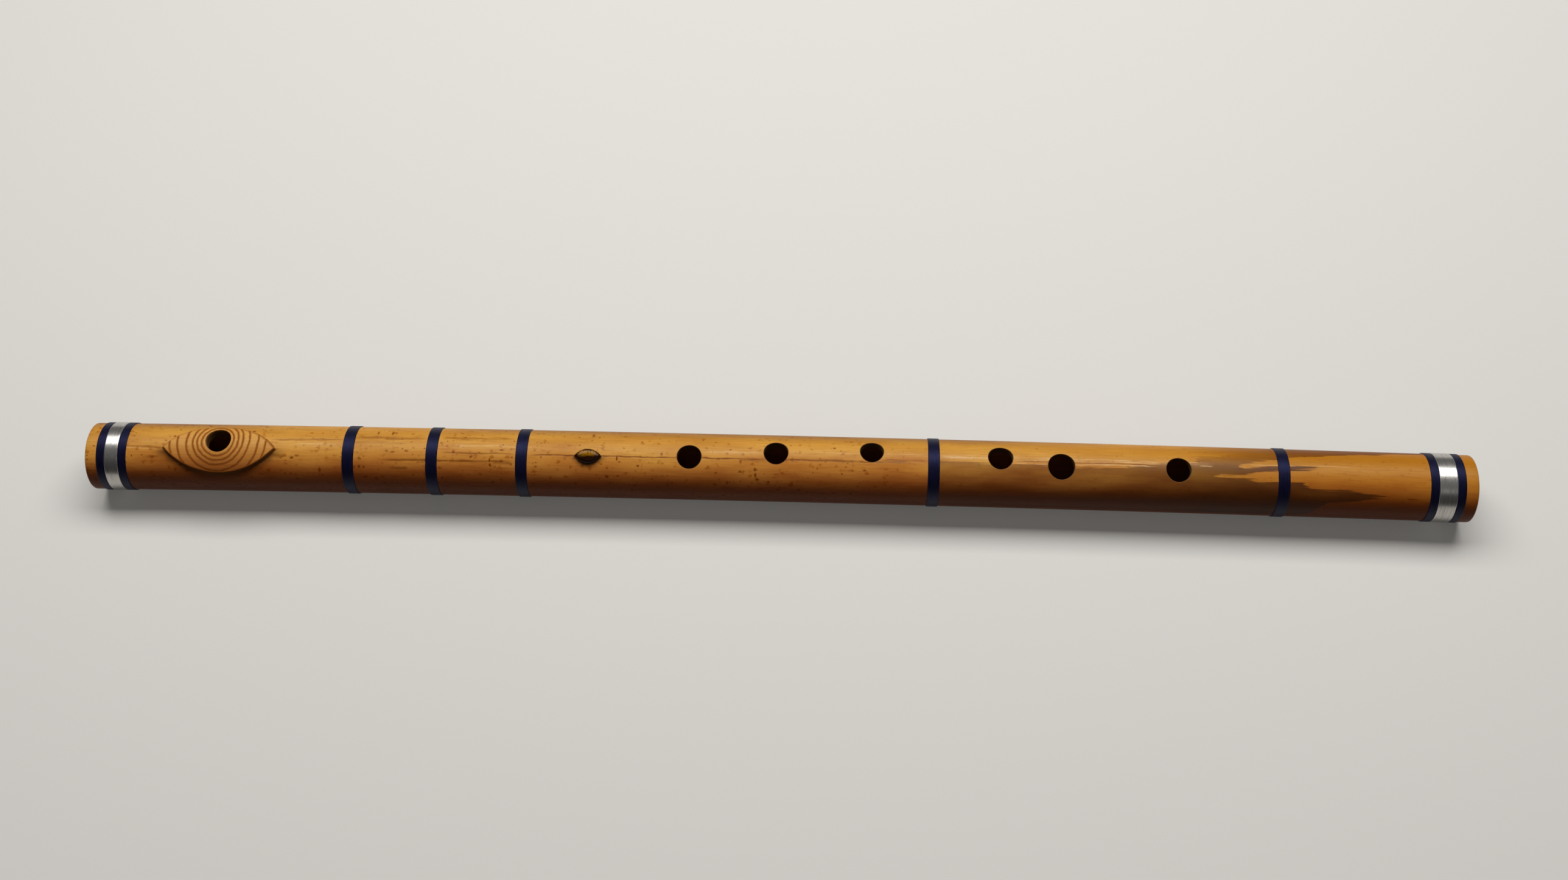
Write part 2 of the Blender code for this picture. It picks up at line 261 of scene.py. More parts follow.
softbox("key_softbox", (0.0, 0.505, 1.06), (1.6, 0.56), 17.0)
softbox("ceiling_panel", (0.0, -0.37, 1.14), (1.6, 0.9), 0.5)
softbox("near_strip", (0.2, -0.79, 1.03), (1.2, 0.25), 0.3)
world = bpy.data.worlds.new("studio")
world.use_nodes = True
world.node_tree.nodes["Background"].inputs["Color"].default_value = linear("#F6EADB")
world.node_tree.nodes["Background"].inputs["Strength"].default_value = 0.008
bpy.context.scene.world = world

# %% Floor
FLOOR_REACH = 4.0
floor_paper, floor_shader = new_material("matt_white_paper")
ray = add(floor_paper, "LightPath", {}, "Is Camera Ray").node.outputs
seen = ray["Is Camera Ray"]
for kind in ("Is Glossy Ray", "Is Transmission Ray"):
    seen = add(floor_paper, "Math", {0: seen, 1: ray[kind]}, operation="MAXIMUM")
paper = layered(floor_paper, "#2A2018", ("MIX", seen, "#D6D3CD"))
glow = add(floor_paper, "Math", {0: seen, 1: 0.12}, operation="MULTIPLY")
links = {"Base Color": paper, "Emission Color": paper, "Emission Strength": glow}
finish_shader(floor_paper, floor_shader, links, Roughness=0.9)
corners = [(x * FLOOR_REACH, y * FLOOR_REACH, 0.0) for x, y in ((-1, -1), (1, -1), (1, 1), (-1, 1))]
floor_skin = bpy.data.meshes.new("floor")
floor_skin.from_pydata(corners, [], [(0, 1, 2, 3)])
floor_skin.materials.append(floor_paper)
floor = bpy.data.objects.new("floor", floor_skin)
bpy.context.collection.objects.link(floor)

# %% [markdown]
# ## Bamboo
# The skin of a bamboo culm is a hard rind under clear varnish. Its fibres run along the tube as fine
# lines. Small brown flecks are old spots of mould on the living plant, and broad brown stains with
# feathered ends are where sap dried. Every pattern on the rind reads the skin's UV map, which holds
# metres along the tube and metres round it, so grain lengths and fleck sizes are real sizes.

# %% Marks on this flute
# Streaks, in millimetres: the start's station and distance round from the top, the same two of the
# end, and half the width; then the strength
STREAKS = (
    (-281, -2.9, -264, -3.4, 0.45, 0.90),
    (-299, -14.1, -294, -14.1, 0.60, 0.80),
    # Glue residue and painted shadow by the plate's near tip
    (-222, -5.7, -211, -5.9, 1.50, 0.50),
    (-219, 1.4, -186, 1.9, 0.90, 0.62),
    (-184, 3.3, -150, 3.5, 1.60, 0.60),
    (-184, 0.8, -158, 0.9, 1.20, 0.35),
    (-170, -6.9, -113, -7.0, 1.00, 0.85),
    (-167, -10.3, -158, -10.4, 1.00, 0.80),
    (-145, 3.9, -112, 4.0, 1.50, 0.60),
    (-145, -3.5, -112, -3.6, 0.60, 0.80),
    (-122, -7.3, -113, -7.4, 1.60, 0.60),
    (-106, -3.6, 60, -3.3, 0.55, 1.00),
    (-16, -3.7, -2, -3.6, 1.20, 0.62),
    (5, -3.2, 39, -3.0, 1.00, 0.62),
    (45, -2.4, 66, -2.3, 0.60, 0.65),
    (103, -1.3, 166, -1.2, 0.45, 0.85),
    (253, -11.9, 260, -12.0, 0.60, 0.80),
    (257, -18.1, 265, -18.2, 0.80, 0.80),
    (269, -13.0, 274, -13.0, 0.80, 0.80),
)
# Painted highlights: pale lines where raised fibres catch the light, written the same way
PAINTED_GLINTS = (
    (-283, -3.6, -265, -4.2, 0.25, 0.40),
    (-140, 0.0, -104, -0.3, 0.80, 0.28),
    (16, 0.4, 64, 0.5, 0.28, 0.32),
    (40, -3.3, 65, -3.2, 0.28, 0.28),
    (70, -0.3, 93, -0.2, 0.38, 0.50),
    (101, -2.3, 117, -2.5, 0.35, 0.42),
    (127, -2.1, 164, -1.8, 0.42, 0.62),
    (181, -1.0, 187, -1.0, 0.35, 0.55),
    (202, 0.3, 246, 0.5, 0.28, 0.50),
    (-208, -0.4, -187, -0.5, 1.00, 0.22),
    (-31, -0.5, -5, -0.4, 1.10, 0.28),
)
# Width of the strip in which a streak or a glint wavers
STREAK_WAVER = 1.6 * MM
# Flecks of three sizes: the cell that may hold one, in millimetres, its radius in cells, the share
# of cells that hold one, and a shift of the pattern
FLECKS = (
    ((8.0, 5.5), 0.15, 0.50, (3.1, 5.3, 0.0)),
    ((4.6, 3.4), 0.18, 0.65, (8.7, 1.9, 0.0)),
    ((2.4, 1.9), 0.22, 0.55, (2.2, 7.4, 0.0)),
)
# The largest spots, in millimetres: station, distance round, half length, half width; then strength
SPOTS = (
    (-269.6, -7.3, 2.2, 0.8, 0.60),
    (-208.8, -6.8, 0.9, 0.7, 0.70),
    (-206.4, -5.8, 1.2, 0.6, 0.55),
    (-196.6, -12.1, 0.6, 1.2, 0.80),
    (-192.0, -1.4, 0.8, 0.8, 0.45),
    (-181.5, -10.3, 0.6, 0.7, 0.70),
    (-179.4, -10.1, 0.7, 0.8, 0.80),
    (-177.4, -10.2, 0.6, 0.7, 0.75),
    (-179.3, -6.6, 1.1, 0.7, 0.55),
    (-172.7, 6.5, 0.6, 1.2, 0.60),
    (-166.4, 6.6, 0.7, 1.5, 0.70),
    (-165.0, -3.5, 0.9, 0.5, 0.60),
    (-138.8, -3.0, 0.6, 1.0, 0.60),
    (-122.9, -6.4, 0.5, 1.0, 0.80),
    (-122.6, -8.6, 0.6, 0.9, 0.85),
    (-79.0, 7.9, 0.9, 1.8, 0.60),
    (-72.2, -12.5, 1.0, 0.8, 0.90),
    (-68.0, -4.5, 0.5, 1.2, 0.80),
    (-58.8, -7.6, 0.7, 0.6, 0.65),
    (-48.9, -2.0, 0.6, 0.8, 0.60),
    (-14.7, -4.6, 0.6, 1.2, 0.60),
    (-14.9, -8.9, 0.8, 0.7, 0.60),
    (-8.4, -7.9, 0.8, 1.0, 0.70),
    (-8.2, -10.3, 0.6, 1.0, 0.75),
    (-7.4, -12.4, 1.0, 0.8, 0.80),
    (-20.4, -14.1, 0.7, 0.9, 0.70),
)
# Scratches along the top, between the middle binding and the last finger hole, painted pale as the
# highlight that they catch
SCRATCH_HIGHLIGHT_START = 62 * MM
SCRATCH_HIGHLIGHT_END = 192 * MM
SCRATCH_HIGHLIGHT_HALF_WIDTH = 1.3 * MM
# The line that the painted shade is lightest along, as its distance round from the top
LIT_LINE = 8 * MM


# %% Masks for the bamboo's marks
def off_lit_line(material, around):
    """Distance round the tube from the line that the painted shade is lightest along."""
    off = add(material, "Math", {0: around, 1: LIT_LINE}, operation="SUBTRACT")
    return add(material, "Math", {0: off}, operation="ABSOLUTE")


def scattered(material, surface, cell, radius, share, shift):
    """Soft spots round the points of a Voronoi pattern: a spot is darker the deeper a place lies inside
    its ragged circle. This share of the cells hold one, dark or faint by chance."""
    scale = (1 / (cell[0] * MM), 1 / (cell[1] * MM), 1.0)
    place = add(material, "Mapping", {"Vector": surface, "Scale": scale, "Location": shift})
    ragged = add(material, "TexNoise", {"Vector": place, "Scale": 2.4, "Detail": 2.0, "Roughness": 0.6})
    reach = {"Value": ragged, "From Min": 0.3, "From Max": 0.7}
    reach = add(material, "MapRange", {**reach, "To Min": 0.5 * radius, "To Max": 1.7 * radius})
    distance = add(material, "TexVoronoi", {"Vector": place, "Scale": 1.0})
    chance = add(material, "SeparateColor", {"Color": distance.node.outputs["Color"]}, "Red")
    depth = add(material, "Math", {0: reach, 1: distance}, operation="SUBTRACT")
    dot = add(material, "MapRange", {"Value": depth, "From Min": 0.0, "From Max": 1.1 * radius})
    tone = add(material, "MapRange", {"Value": chance, "From Min": share, "From Max": 0.3 * share})
    return add(material, "Math", {0: dot, 1: tone}, operation="MULTIPLY")


def streak(material, place, noise, lengths, strength):
    """A soft line: how near a point is to a straight path that wavers and swells a little."""
    along, around = place
    waver, pinch = noise
    start, start_side, end, end_side, half_width = (length * MM for length in lengths)
    slope = (end_side - start_side) / (end - start)
    path = {0: along, 1: -slope, 2: slope * start - start_side}
    off = add(material, "Math", path, operation="MULTIPLY_ADD")
    off = add(material, "Math", {0: off, 1: around}, operation="ADD")
    off = add(material, "Math", {0: waver, 1: STREAK_WAVER, 2: off}, operation="MULTIPLY_ADD")
    off = add(material, "Math", {0: off}, operation="ABSOLUTE")
    off = add(material, "Math", {0: off, 1: pinch}, operation="MULTIPLY")
    near = {"Value": off, "From Min": half_width, "From Max": 0.0, "To Max": strength}
    line = add(material, "MapRange", near, interpolation_type="SMOOTHSTEP")
    # The ends fade out over 5 mm, or over less on a short line
    fade = min(0.15 * (end - start), 5 * MM)
    for edge, inside in ((start, start + fade), (end, end - fade)):
        gate = add(material, "MapRange", {"Value": along, "From Min": edge, "From Max": inside})
        line = add(material, "Math", {0: line, 1: gate}, operation="MULTIPLY")
    return line


def spot(material, surface, ragged, lengths, strength):
    """An ellipse that is darkest in its middle, with an edge that low noise makes ragged."""
    station, side, half_length, half_width = (length * MM for length in lengths)
    scale = (1 / half_length, 1 / half_width, 1.0)
    place = {"Vector": surface, "Scale": scale, "Location": (-station * scale[0], -side * scale[1], 0.0)}
    reach = add(material, "Mapping", place)
    reach = add(material, "VectorMath", {0: reach}, "Value", operation="LENGTH")
    reach = add(material, "Math", {0: ragged, 1: 1.6, 2: reach}, operation="MULTIPLY_ADD")
    return add(material, "MapRange", {"Value": reach, "From Min": 2.0, "From Max": 1.1, "To Max": strength})


# %% Varnished bamboo
# Hard waxy rind, scraped lightly and varnished: warm honey colour, a soft wide sheen and fine fibres.
# Away from the lit top the rind is painted ruddier and then darker, as painted shade.
bamboo, bamboo_shader = new_material("varnished_bamboo_culm")
surface = add(bamboo, "UVMap", {}, uv_map="surface")
along = add(bamboo, "SeparateXYZ", {"Vector": surface}, "X")
around = add(bamboo, "SeparateXYZ", {"Vector": surface}, "Y")
labels = ("stain", "stain_depth", "smoke_and_shade", "far_darker", "char", "sawn")
stored = [add(bamboo, "Attribute", {}, "Fac", attribute_name=label) for label in labels]
stain, stain_depth, smoke_and_shade, far_darker, char, sawn = stored

cloud = stretched_noise(bamboo, surface, (26.0, 100.0, 1.0), 4.0)
cloud = add(bamboo, "MapRange", {"Value": cloud, "From Min": 0.32, "From Max": 0.72})
fibre = stretched_noise(bamboo, surface, (80.0, 1400.0, 1.0), 5.0, 0.65)
fibre_dark = add(bamboo, "MapRange", {"Value": fibre, "From Min": 0.48, "From Max": 0.78, "To Max": 0.46})
foot = add(bamboo, "MapRange", {"Value": along, "From Min": 120 * MM, "From Max": 230 * MM, "To Max": 0.8})
foot_high = add(bamboo, "MapRange", {"Value": around, "From Min": -1 * MM, "From Max": 4 * MM})
foot_high = add(bamboo, "Math", {0: foot_high, 1: foot}, operation="MULTIPLY")
off_line = off_lit_line(bamboo, around)
off_line = add(bamboo, "Math", {0: cloud, 1: 5 * MM, 2: off_line}, operation="MULTIPLY_ADD")
# Painted shade: ruddier, then darker, the farther a place lies round from the lit line
shade_ruddy = add(bamboo, "MapRange", {"Value": off_line, "From Min": 10 * MM, "From Max": 22 * MM})
deep_shade_ruddy = add(bamboo, "MapRange", {"Value": off_line, "From Min": 17 * MM, "From Max": 26 * MM})
ground = layered(
    bamboo,
    "#DA9F43",
    ("MIX", cloud, "#BE802F"),
    ("MIX", foot, "#BE7E24"),
    ("MULTIPLY", foot_high, "#E8DA92"),
    ("MIX", fibre_dark, "#955519"),
    ("MULTIPLY", shade_ruddy, "#FFDDDF"),
    ("MULTIPLY", deep_shade_ruddy, "#CEB3BC"),
    # The far side is made darker in the middle of the flute
    ("MULTIPLY", far_darker, "#C4B8A0"),
)
print("bamboo ground and fibre are in")

# %% Stains, smoke with painted shadow, and painted scratch highlights on the bamboo
feather = stretched_noise(bamboo, surface, (50.0, 1400.0, 1.0), 6.0, 0.6)
feather = add(bamboo, "Math", {0: feather, 1: 0.5}, operation="SUBTRACT")
stain_edge = add(bamboo, "Math", {0: feather, 1: 2.2, 2: stain}, operation="MULTIPLY_ADD")
stain_mask = add(bamboo, "MapRange", {"Value": stain_edge, "From Min": 0.38, "From Max": 0.62})
mottle = add(bamboo, "MapRange", {"Value": cloud, "From Max": 1.0, "To Min": 0.82, "To Max": 1.12})
for share in (stain_depth, mottle):
    stain_mask = add(bamboo, "Math", {0: stain_mask, 1: share}, operation="MULTIPLY")
stain_high = add(bamboo, "MapRange", {"Value": around, "From Min": -1 * MM, "From Max": 5 * MM})
stain_tone = layered(bamboo, "#572F12", ("MIX", stain_high, "#703B0A"))
smoke_and_shade = add(bamboo, "Math", {0: smoke_and_shade, 1: mottle}, operation="MULTIPLY")

# Painted highlight: pale scratches that stand for the light they catch along the top
scratch_highlight = stretched_noise(bamboo, surface, (70.0, 3400.0, 1.0), 4.0, 0.7)
scratch_highlight = add(bamboo, "MapRange", {"Value": scratch_highlight, "From Min": 0.50, "From Max": 0.66, "To Max": 0.7})
band = add(bamboo, "Math", {0: around}, operation="ABSOLUTE")
gates = (
    {"Value": band, "From Min": SCRATCH_HIGHLIGHT_HALF_WIDTH, "From Max": 0.3 * SCRATCH_HIGHLIGHT_HALF_WIDTH},
    {"Value": along, "From Min": SCRATCH_HIGHLIGHT_START, "From Max": SCRATCH_HIGHLIGHT_START + 10 * MM},
    {"Value": along, "From Min": SCRATCH_HIGHLIGHT_END, "From Max": SCRATCH_HIGHLIGHT_END - 25 * MM},
)
for gate in gates:
    scratch_highlight = add(bamboo, "Math", {0: scratch_highlight, 1: add(bamboo, "MapRange", gate)}, operation="MULTIPLY")
print("the stain, the smoke and the scratches are in")

# %% Flecks, spots and streaks on the bamboo
# Flecks crowd together in places, and the stained end has fewer of them. The faint ones are only a
# shade darker than the rind.
crowd = stretched_noise(bamboo, surface, (32.0, 60.0, 1.0), 2.0)
crowd = add(bamboo, "MapRange", {"Value": crowd, "From Min": 0.36, "From Max": 0.56, "To Min": 0.5})
fewer = add(bamboo, "MapRange", {"Value": along, "From Min": 60 * MM, "From Max": 30 * MM, "To Min": 0.3})
crowd = add(bamboo, "Math", {0: crowd, 1: fewer}, operation="MULTIPLY")
faint = scattered(bamboo, surface, (3.6, 2.9), 0.30, 0.75, (6.1, 2.7, 0.0))
faint = add(bamboo, "Math", {0: faint, 1: crowd}, operation="MULTIPLY")
faint = add(bamboo, "Math", {0: faint, 1: 1.8}, operation="MULTIPLY", use_clamp=True)
flecks = 0.0
for row in FLECKS:
    flecks = {0: flecks, 1: scattered(bamboo, surface, *row)}
    flecks = add(bamboo, "Math", flecks, operation="MAXIMUM")
flecks = add(bamboo, "Math", {0: flecks, 1: crowd}, operation="MULTIPLY")
ragged = stretched_noise(bamboo, surface, (900.0, 900.0, 1.0), 2.0, 0.6)
for *lengths, strength in SPOTS:
    flecks = {0: flecks, 1: spot(bamboo, surface, ragged, lengths, strength)}
    flecks = add(bamboo, "Math", flecks, operation="MAXIMUM")
flecks = add(bamboo, "Math", {0: flecks, 1: 1.35}, operation="MULTIPLY", use_clamp=True)

waver = stretched_noise(bamboo, surface, (45.0, 6.0, 1.0), 3.0)
waver = add(bamboo, "Math", {0: waver, 1: 0.5}, operation="SUBTRACT")
pinch = stretched_noise(bamboo, surface, (160.0, 900.0, 1.0), 4.0, 0.65)
pinch = {"Value": pinch, "From Min": 0.34, "From Max": 0.66, "To Min": 0.4, "To Max": 1.9}
pinch = add(bamboo, "MapRange", pinch)
broken = stretched_noise(bamboo, surface, (130.0, 600.0, 1.0), 3.0, 0.6)
broken = add(bamboo, "MapRange", {"Value": broken, "From Min": 0.36, "From Max": 0.56, "To Min": 0.45})


def drawn(table):
    """The mask of all the lines of a table, broken up by noise."""
    mask = 0.0
    for *lengths, strength in table:
        line = streak(bamboo, (along, around), (waver, pinch), lengths, strength)
        mask = add(bamboo, "Math", {0: mask, 1: line}, operation="MAXIMUM")
    return add(bamboo, "Math", {0: mask, 1: broken}, operation="MULTIPLY")


cracks = drawn(STREAKS)
painted_glints = drawn(PAINTED_GLINTS)
print("flecks,", len(SPOTS), "large spots,", len(STREAKS), "streaks and", len(PAINTED_GLINTS), "glints are in")

# %% Cut and scorched bamboo, and the bamboo's gloss
# The holes are burnt through with a hot rod, which leaves brown charcoal on their walls. The ends
# are sawn across the fibres, so they show a dark dot for each bundle.
solid_place = add(bamboo, "TexCoord", {}, "Object")
bundles = add(bamboo, "TexVoronoi", {"Vector": solid_place, "Scale": 1500.0})
bundles = add(bamboo, "MapRange", {"Value": bundles, "From Min": 0.25, "From Max": 0.45})
end_grain = layered(bamboo, "#6B4420", ("MIX", bundles, "#CFA468"))
colour = layered(
    bamboo,
    ground,
    ("MIX", stain_mask, stain_tone),
    ("MIX", scratch_highlight, "#F6DDB2"),
    ("MULTIPLY", faint, "#DCC68C"),
    ("MIX", flecks, "#7E3C00"),
    # Smoke and painted shadow under the plate and the stone
    ("MIX", smoke_and_shade, "#4C2408"),
    ("MIX", cracks, "#7A3C06"),
    # Painted highlights along raised fibres
    ("MIX", painted_glints, "#EFCA8E"),
    ("MIX", char, "#6A4A2A"),
    ("MIX", sawn, end_grain),
)
gloss = {"Value": fibre, "From Min": 0.3, "From Max": 0.8, "To Min": 0.36, "To Max": 0.5}
gloss = add(bamboo, "MapRange", gloss)
rough = add(bamboo, "Math", {0: char, 1: 0.45, 2: gloss}, operation="MULTIPLY_ADD")
height = add(bamboo, "Math", {0: cracks, 1: -0.9, 2: fibre}, operation="MULTIPLY_ADD")
relief = add(bamboo, "Bump", {"Height": height, "Strength": 0.3, "Distance": 0.12 * MM})
links = {"Base Color": colour, "Roughness": rough, "Normal": relief}
finish_shader(bamboo, bamboo_shader, links, Specular_IOR_Level=0.13)

# %% [markdown]
# ## The tube
# The tube is one skin shaped like a stretched ring: its section runs along the outside, round the
# foot's rim, back through the bore and round the head's rim. At each hole a patch of the grid is
# left out on both sides. Rings of points lead from the patch's square edge to the hole's rounded
# rim, down its wall and out to the bore, so each hole belongs to the skin and needs no boolean.

# %% Holes, seats and stations
EMBOUCHURE_X = HEAD_END + 58.0 * MM
EMBOUCHURE_SIZE = (10.8 * MM, 10.7 * MM)
# Distance from the blowing hole, turn towards the far side in degrees, diameter
FINGER_HOLES = (
    (204.1 * MM, -11.0, 10.4 * MM),
    (241.4 * MM, 0.0, 10.4 * MM),
    (282.6 * MM, 7.0, 10.0 * MM),
    (337.7 * MM, 1.5, 10.5 * MM),
    (363.6 * MM, -11.5, 11.3 * MM),
    (413.4 * MM, -11.5, 10.5 * MM),
)
HOLES = [(EMBOUCHURE_X, 0.0, *EMBOUCHURE_SIZE)]
HOLES += [(EMBOUCHURE_X + d, math.radians(turn), width, width) for d, turn, width in FINGER_HOLES]
# Columns of the skin, and how far the patch round a hole reaches to each side, along it and round it
AROUND = 120
PATCH_HALF = 8.1 * MM
PATCH_STEP = 0.9 * MM
PATCH_COLUMNS = 11
STATION_STEP = 2.0 * MM
BORE_STEP = 8.0 * MM
HOLE_ROUNDING = 0.3 * MM
BORE_CHAR = 0.55
RIM_BEVEL = 0.7 * MM
BORE_BEVEL = 0.4 * MM
# Radii of two rings in the middle of a sawn end, which stop the bore's char from spreading over it
END_RINGS = (12.9 * MM, 12.3 * MM)
thread_nodes = [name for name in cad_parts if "binding" in name]
ring_nodes = thread_nodes + ["head_band", "foot_band"]
SEATS = sorted((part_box(n)[0][0] - CLEARANCE / 2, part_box(n)[1][0] + CLEARANCE / 2) for n in ring_nodes)


def stations(step):
    """Stations at this step from end to end, with finer ones in step across each hole's patch."""
    half = round(PATCH_HALF / PATCH_STEP)
    reach = PATCH_HALF + 0.4 * PATCH_STEP
    spots = np.linspace(HEAD_END + RIM_BEVEL, FOOT_END - RIM_BEVEL, round((FOOT_END - HEAD_END) / step))
    centres = np.array([hole[0] for hole in HOLES])
    apart = np.abs(spots[:, None] - centres[None, :]).min(axis=1)
    across = (centres[:, None] + np.arange(-half, half + 1)[None, :] * PATCH_STEP).ravel()
    return np.sort(np.concatenate([spots[apart > reach], across]))


def outside_rows():
    """Stations and radii of the outside: a seat is a step down, kept sharp by two rows at its edge."""
    spots = stations(STATION_STEP)
    starts = np.array([seat[0] for seat in SEATS])
    ends = np.array([seat[1] for seat in SEATS])
    margin = 0.4 * MM
    clear = ~((spots[:, None] > starts - margin) & (spots[:, None] < ends + margin)).any(axis=1)
    first_starts = starts[np.append(True, starts[1:] - ends[:-1] > margin)]
    last_ends = ends[np.append(starts[1:] - ends[:-1] > margin, True)]
    low = TUBE_RADIUS - SEAT_DEPTH
    rows = [(x, TUBE_RADIUS) for x in spots[clear]]
    for start, end in zip(first_starts, last_ends):
        rows += [(start - HAIR, TUBE_RADIUS), (start, low), (end, low), (end + HAIR, TUBE_RADIUS)]
    return np.array(sorted(rows))


print("the tube's outside has", len(outside_rows()), "stations and", len(SEATS), "seats")


# %% [markdown]
# ## Where the stain lies
# The brown stain covers the near side below the middle binding, and two pale tongues of clean rind
# run into it from the foot. Its borders are drawn as corner points, station in millimetres
# against degrees round the flute from a line on its near side, and the material feathers them with
# noise.


# %% Stain borders
# The line that the borders are measured from lies this many degrees to the near side of the top
BORDERS_FROM = 29.6
STAIN_SOFTNESS = 9.0
MAIN_TOP = (
    (66, 70, 92, 103, 140, 150, 156, 162, 168, 184, 188, 191, 195, 200,
     204, 210, 223, 225, 227, 235, 244, 247, 250, 256, 262),
    (24, 22, 21, 18, 17, 19, 22, 25, 29, 31, 10, 7, 6.5, 6.5,
     3, 2, 2.5, 1.5, -6, -8, -9.5, -12, -14, -16, -17.5),
)
MAIN_FOOT = ((228, 232, 236, 240, 245, 250, 254, 262), (-70, -45, -33, -32, -30, -27, -22, -19))
SLIVER = (
    (
        (180, 187, 190, 195, 200, 205, 210, 215, 222, 228, 235),
        (5, 10.5, 12.5, 12, 13.5, 17, 19, 20.5, 24, 26, 28.2),
    ),
    (
        (180, 195, 197, 200, 205, 208, 210, 215, 222, 230, 235),
        (45, 45, 25, 22, 24, 25.5, 28, 29, 30, 29.5, 28.4),
    ),
)
BROWN = (
    ((178, 196, 200, 205, 210, 215, 220), (25, 26, 31, 37, 40, 42, 48.5)),
    ((178, 185, 190, 198, 205, 212, 222), (30, 39, 46, 60, 66, 68, 70)),
)
HIGH_EDGE = (
    (176, 200, 215, 220, 223, 232, 235, 238, 244, 250, 257, 260, 263, 268, 280),
    (52, 54, 51, 48.5, 50.5, 52.5, 54.5, 59, 60.5, 63.5, 63.5, 66, 70, 72, 74),
)


def ramp(value, start, end):
    """0 up to start and 1 from end on, with a straight line between; end may be the lower one."""
    return np.clip((value - start) / (end - start), 0, 1)


def rises(value, border):
    """0 below a border and 1 above it, with one half on the border itself."""
    return np.clip((value - border) / STAIN_SOFTNESS + 0.5, 0, 1)


def stain_at(x, angle):
    """Where the stain lies, 0 to 1, at a station in millimetres and an angle in degrees."""
    main = rises(np.interp(x, *MAIN_TOP), angle) * rises(angle, np.interp(x, *MAIN_FOOT))
    main *= ramp(x, 66, 69) * ramp(x, 263, 260) * ramp(angle, -100, -70)
    sliver = rises(angle, np.interp(x, *SLIVER[0])) * rises(np.interp(x, *SLIVER[1]), angle)
    sliver *= ramp(x, 178, 184) * ramp(x, 236, 230) * 1.4
    brown = rises(angle, np.interp(x, *BROWN[0])) * rises(np.interp(x, *BROWN[1]), angle)
    brown *= ramp(x, 174, 186) * ramp(x, 224, 218)
    high = rises(angle, np.interp(x, *HIGH_EDGE)) * ramp(angle, 150, 110)
    high *= ramp(x, 172, 184) * ramp(x, 284, 278)
    return np.maximum.reduce([main, sliver, brown, high])


def far_darker_at(x, angle):
    """Where the colour on the far side is made darker, 0 to 1: not round the upper bindings nor near the
    foot.
    """
    return ramp(angle, 48, 78) * ramp(np.abs(x + 180), 15, 75) * ramp(x, 150, 90)


def stain_depth_at(x, angle):
    """How dark the stain is: deepest near the foot, and thinner where it starts towards the far side."""
    deep = np.interp(x, [66, 110, 150, 188, 262], [0.48, 0.50, 0.62, 0.86, 0.92])
    thin = np.interp(x, [60, 160, 172, 180, 200, 212, 222], [0.20, 0.40, 0.90, 0.85, 0.50, 0.25, 0.0])
    return deep * (1 - thin * ramp(angle, 22, 50))


# %% [markdown]
# ## Smoke marks and painted shadow
# The maker burnt the plate's edge after it was glued on, and the wire left brown smoke on the tube
# along the near side, most of it under the two tips; the same dark tone also paints the shadow that
# the plate casts there. A little sealing wax and painted shadow darken the rind under the stone.


# %% Smoke and painted shadow round the plate and the stone
PLATE_LENGTH = 48.4 * MM
PLATE_WIDTH = 21.9 * MM
PLATE_PAST_EMBOUCHURE = 0.5 * MM
PLATE_TURN = math.radians(-12.8)
STONE_X = middle("stone_cabochon")[0]
STONE_TURN = math.radians(-14.8)
STONE_SIZE = (11.8 * MM, 6.4 * MM)
SMOKE_AND_SHADE_REACH = 6.0 * MM


def smoke_and_shade_at(x, angle):
    """How much smoke and painted shadow lie at a station and an angle: near side only, most by a tip,
    fading outwards.
    """
    smoke_and_shade = np.zeros_like(x)
    plate_x = EMBOUCHURE_X + PLATE_PAST_EMBOUCHURE
    for centre, turn, (length, width), most, least, reach in (
        (plate_x, PLATE_TURN, (PLATE_LENGTH, PLATE_WIDTH), 0.9, 0.3, SMOKE_AND_SHADE_REACH),
        (STONE_X, STONE_TURN, STONE_SIZE, 0.6, 0.6, 0.5 * SMOKE_AND_SHADE_REACH),
    ):
        ahead = np.abs(x - centre)
        side = (angle - turn) * TUBE_RADIUS
        arc = (length ** 2 + width ** 2) / (4 * width)
        half = np.sqrt(arc ** 2 - np.minimum(ahead, length / 2) ** 2) - arc + width / 2
        out = np.hypot(np.maximum(ahead - length / 2, 0), np.maximum(np.abs(side) - half, 0))
        near_side = ramp(side / width, 0.024, -0.096)
        strength = np.interp(ahead / length, [0.36, 0.46], [least, most])
        way = np.clip(out / reach, 0, 1)
        smoke_and_shade = np.maximum(smoke_and_shade, strength * near_side * (1 - way ** 2 * (3 - 2 * way)))
    return smoke_and_shade


# %% [markdown]
# ## Rings round a hole
# A drilled hole has the same width at every depth, so its side angle is the arcsine of its half
# width over the radius at that depth. Rows go from the square edge of the patch to the rim, round
# it on a quarter circle, straight down, and round the bore's edge on another quarter circle.


# %% Rows of one hole
def oval(hole, way, reach, radius):
    """Stations and angles of a hole's outline, widened by reach, where the drill meets this radius."""
    x, turn, length, width = hole
    side = np.arcsin((width / 2 + reach) * np.sin(way) / radius)
    return x + (length / 2 + reach) * np.cos(way), turn + side


def rim_levels(top):
    """Reach, radius and share of char down the quarter circle that rounds a hole's rim."""
    turned = np.linspace(0, math.pi / 2, 6)
    reach = HOLE_ROUNDING * (1 - np.sin(turned))
    radius = top - HOLE_ROUNDING * (1 - np.cos(turned))
    return list(zip(reach, radius, np.minimum(1.0, 2 * np.sin(turned))))


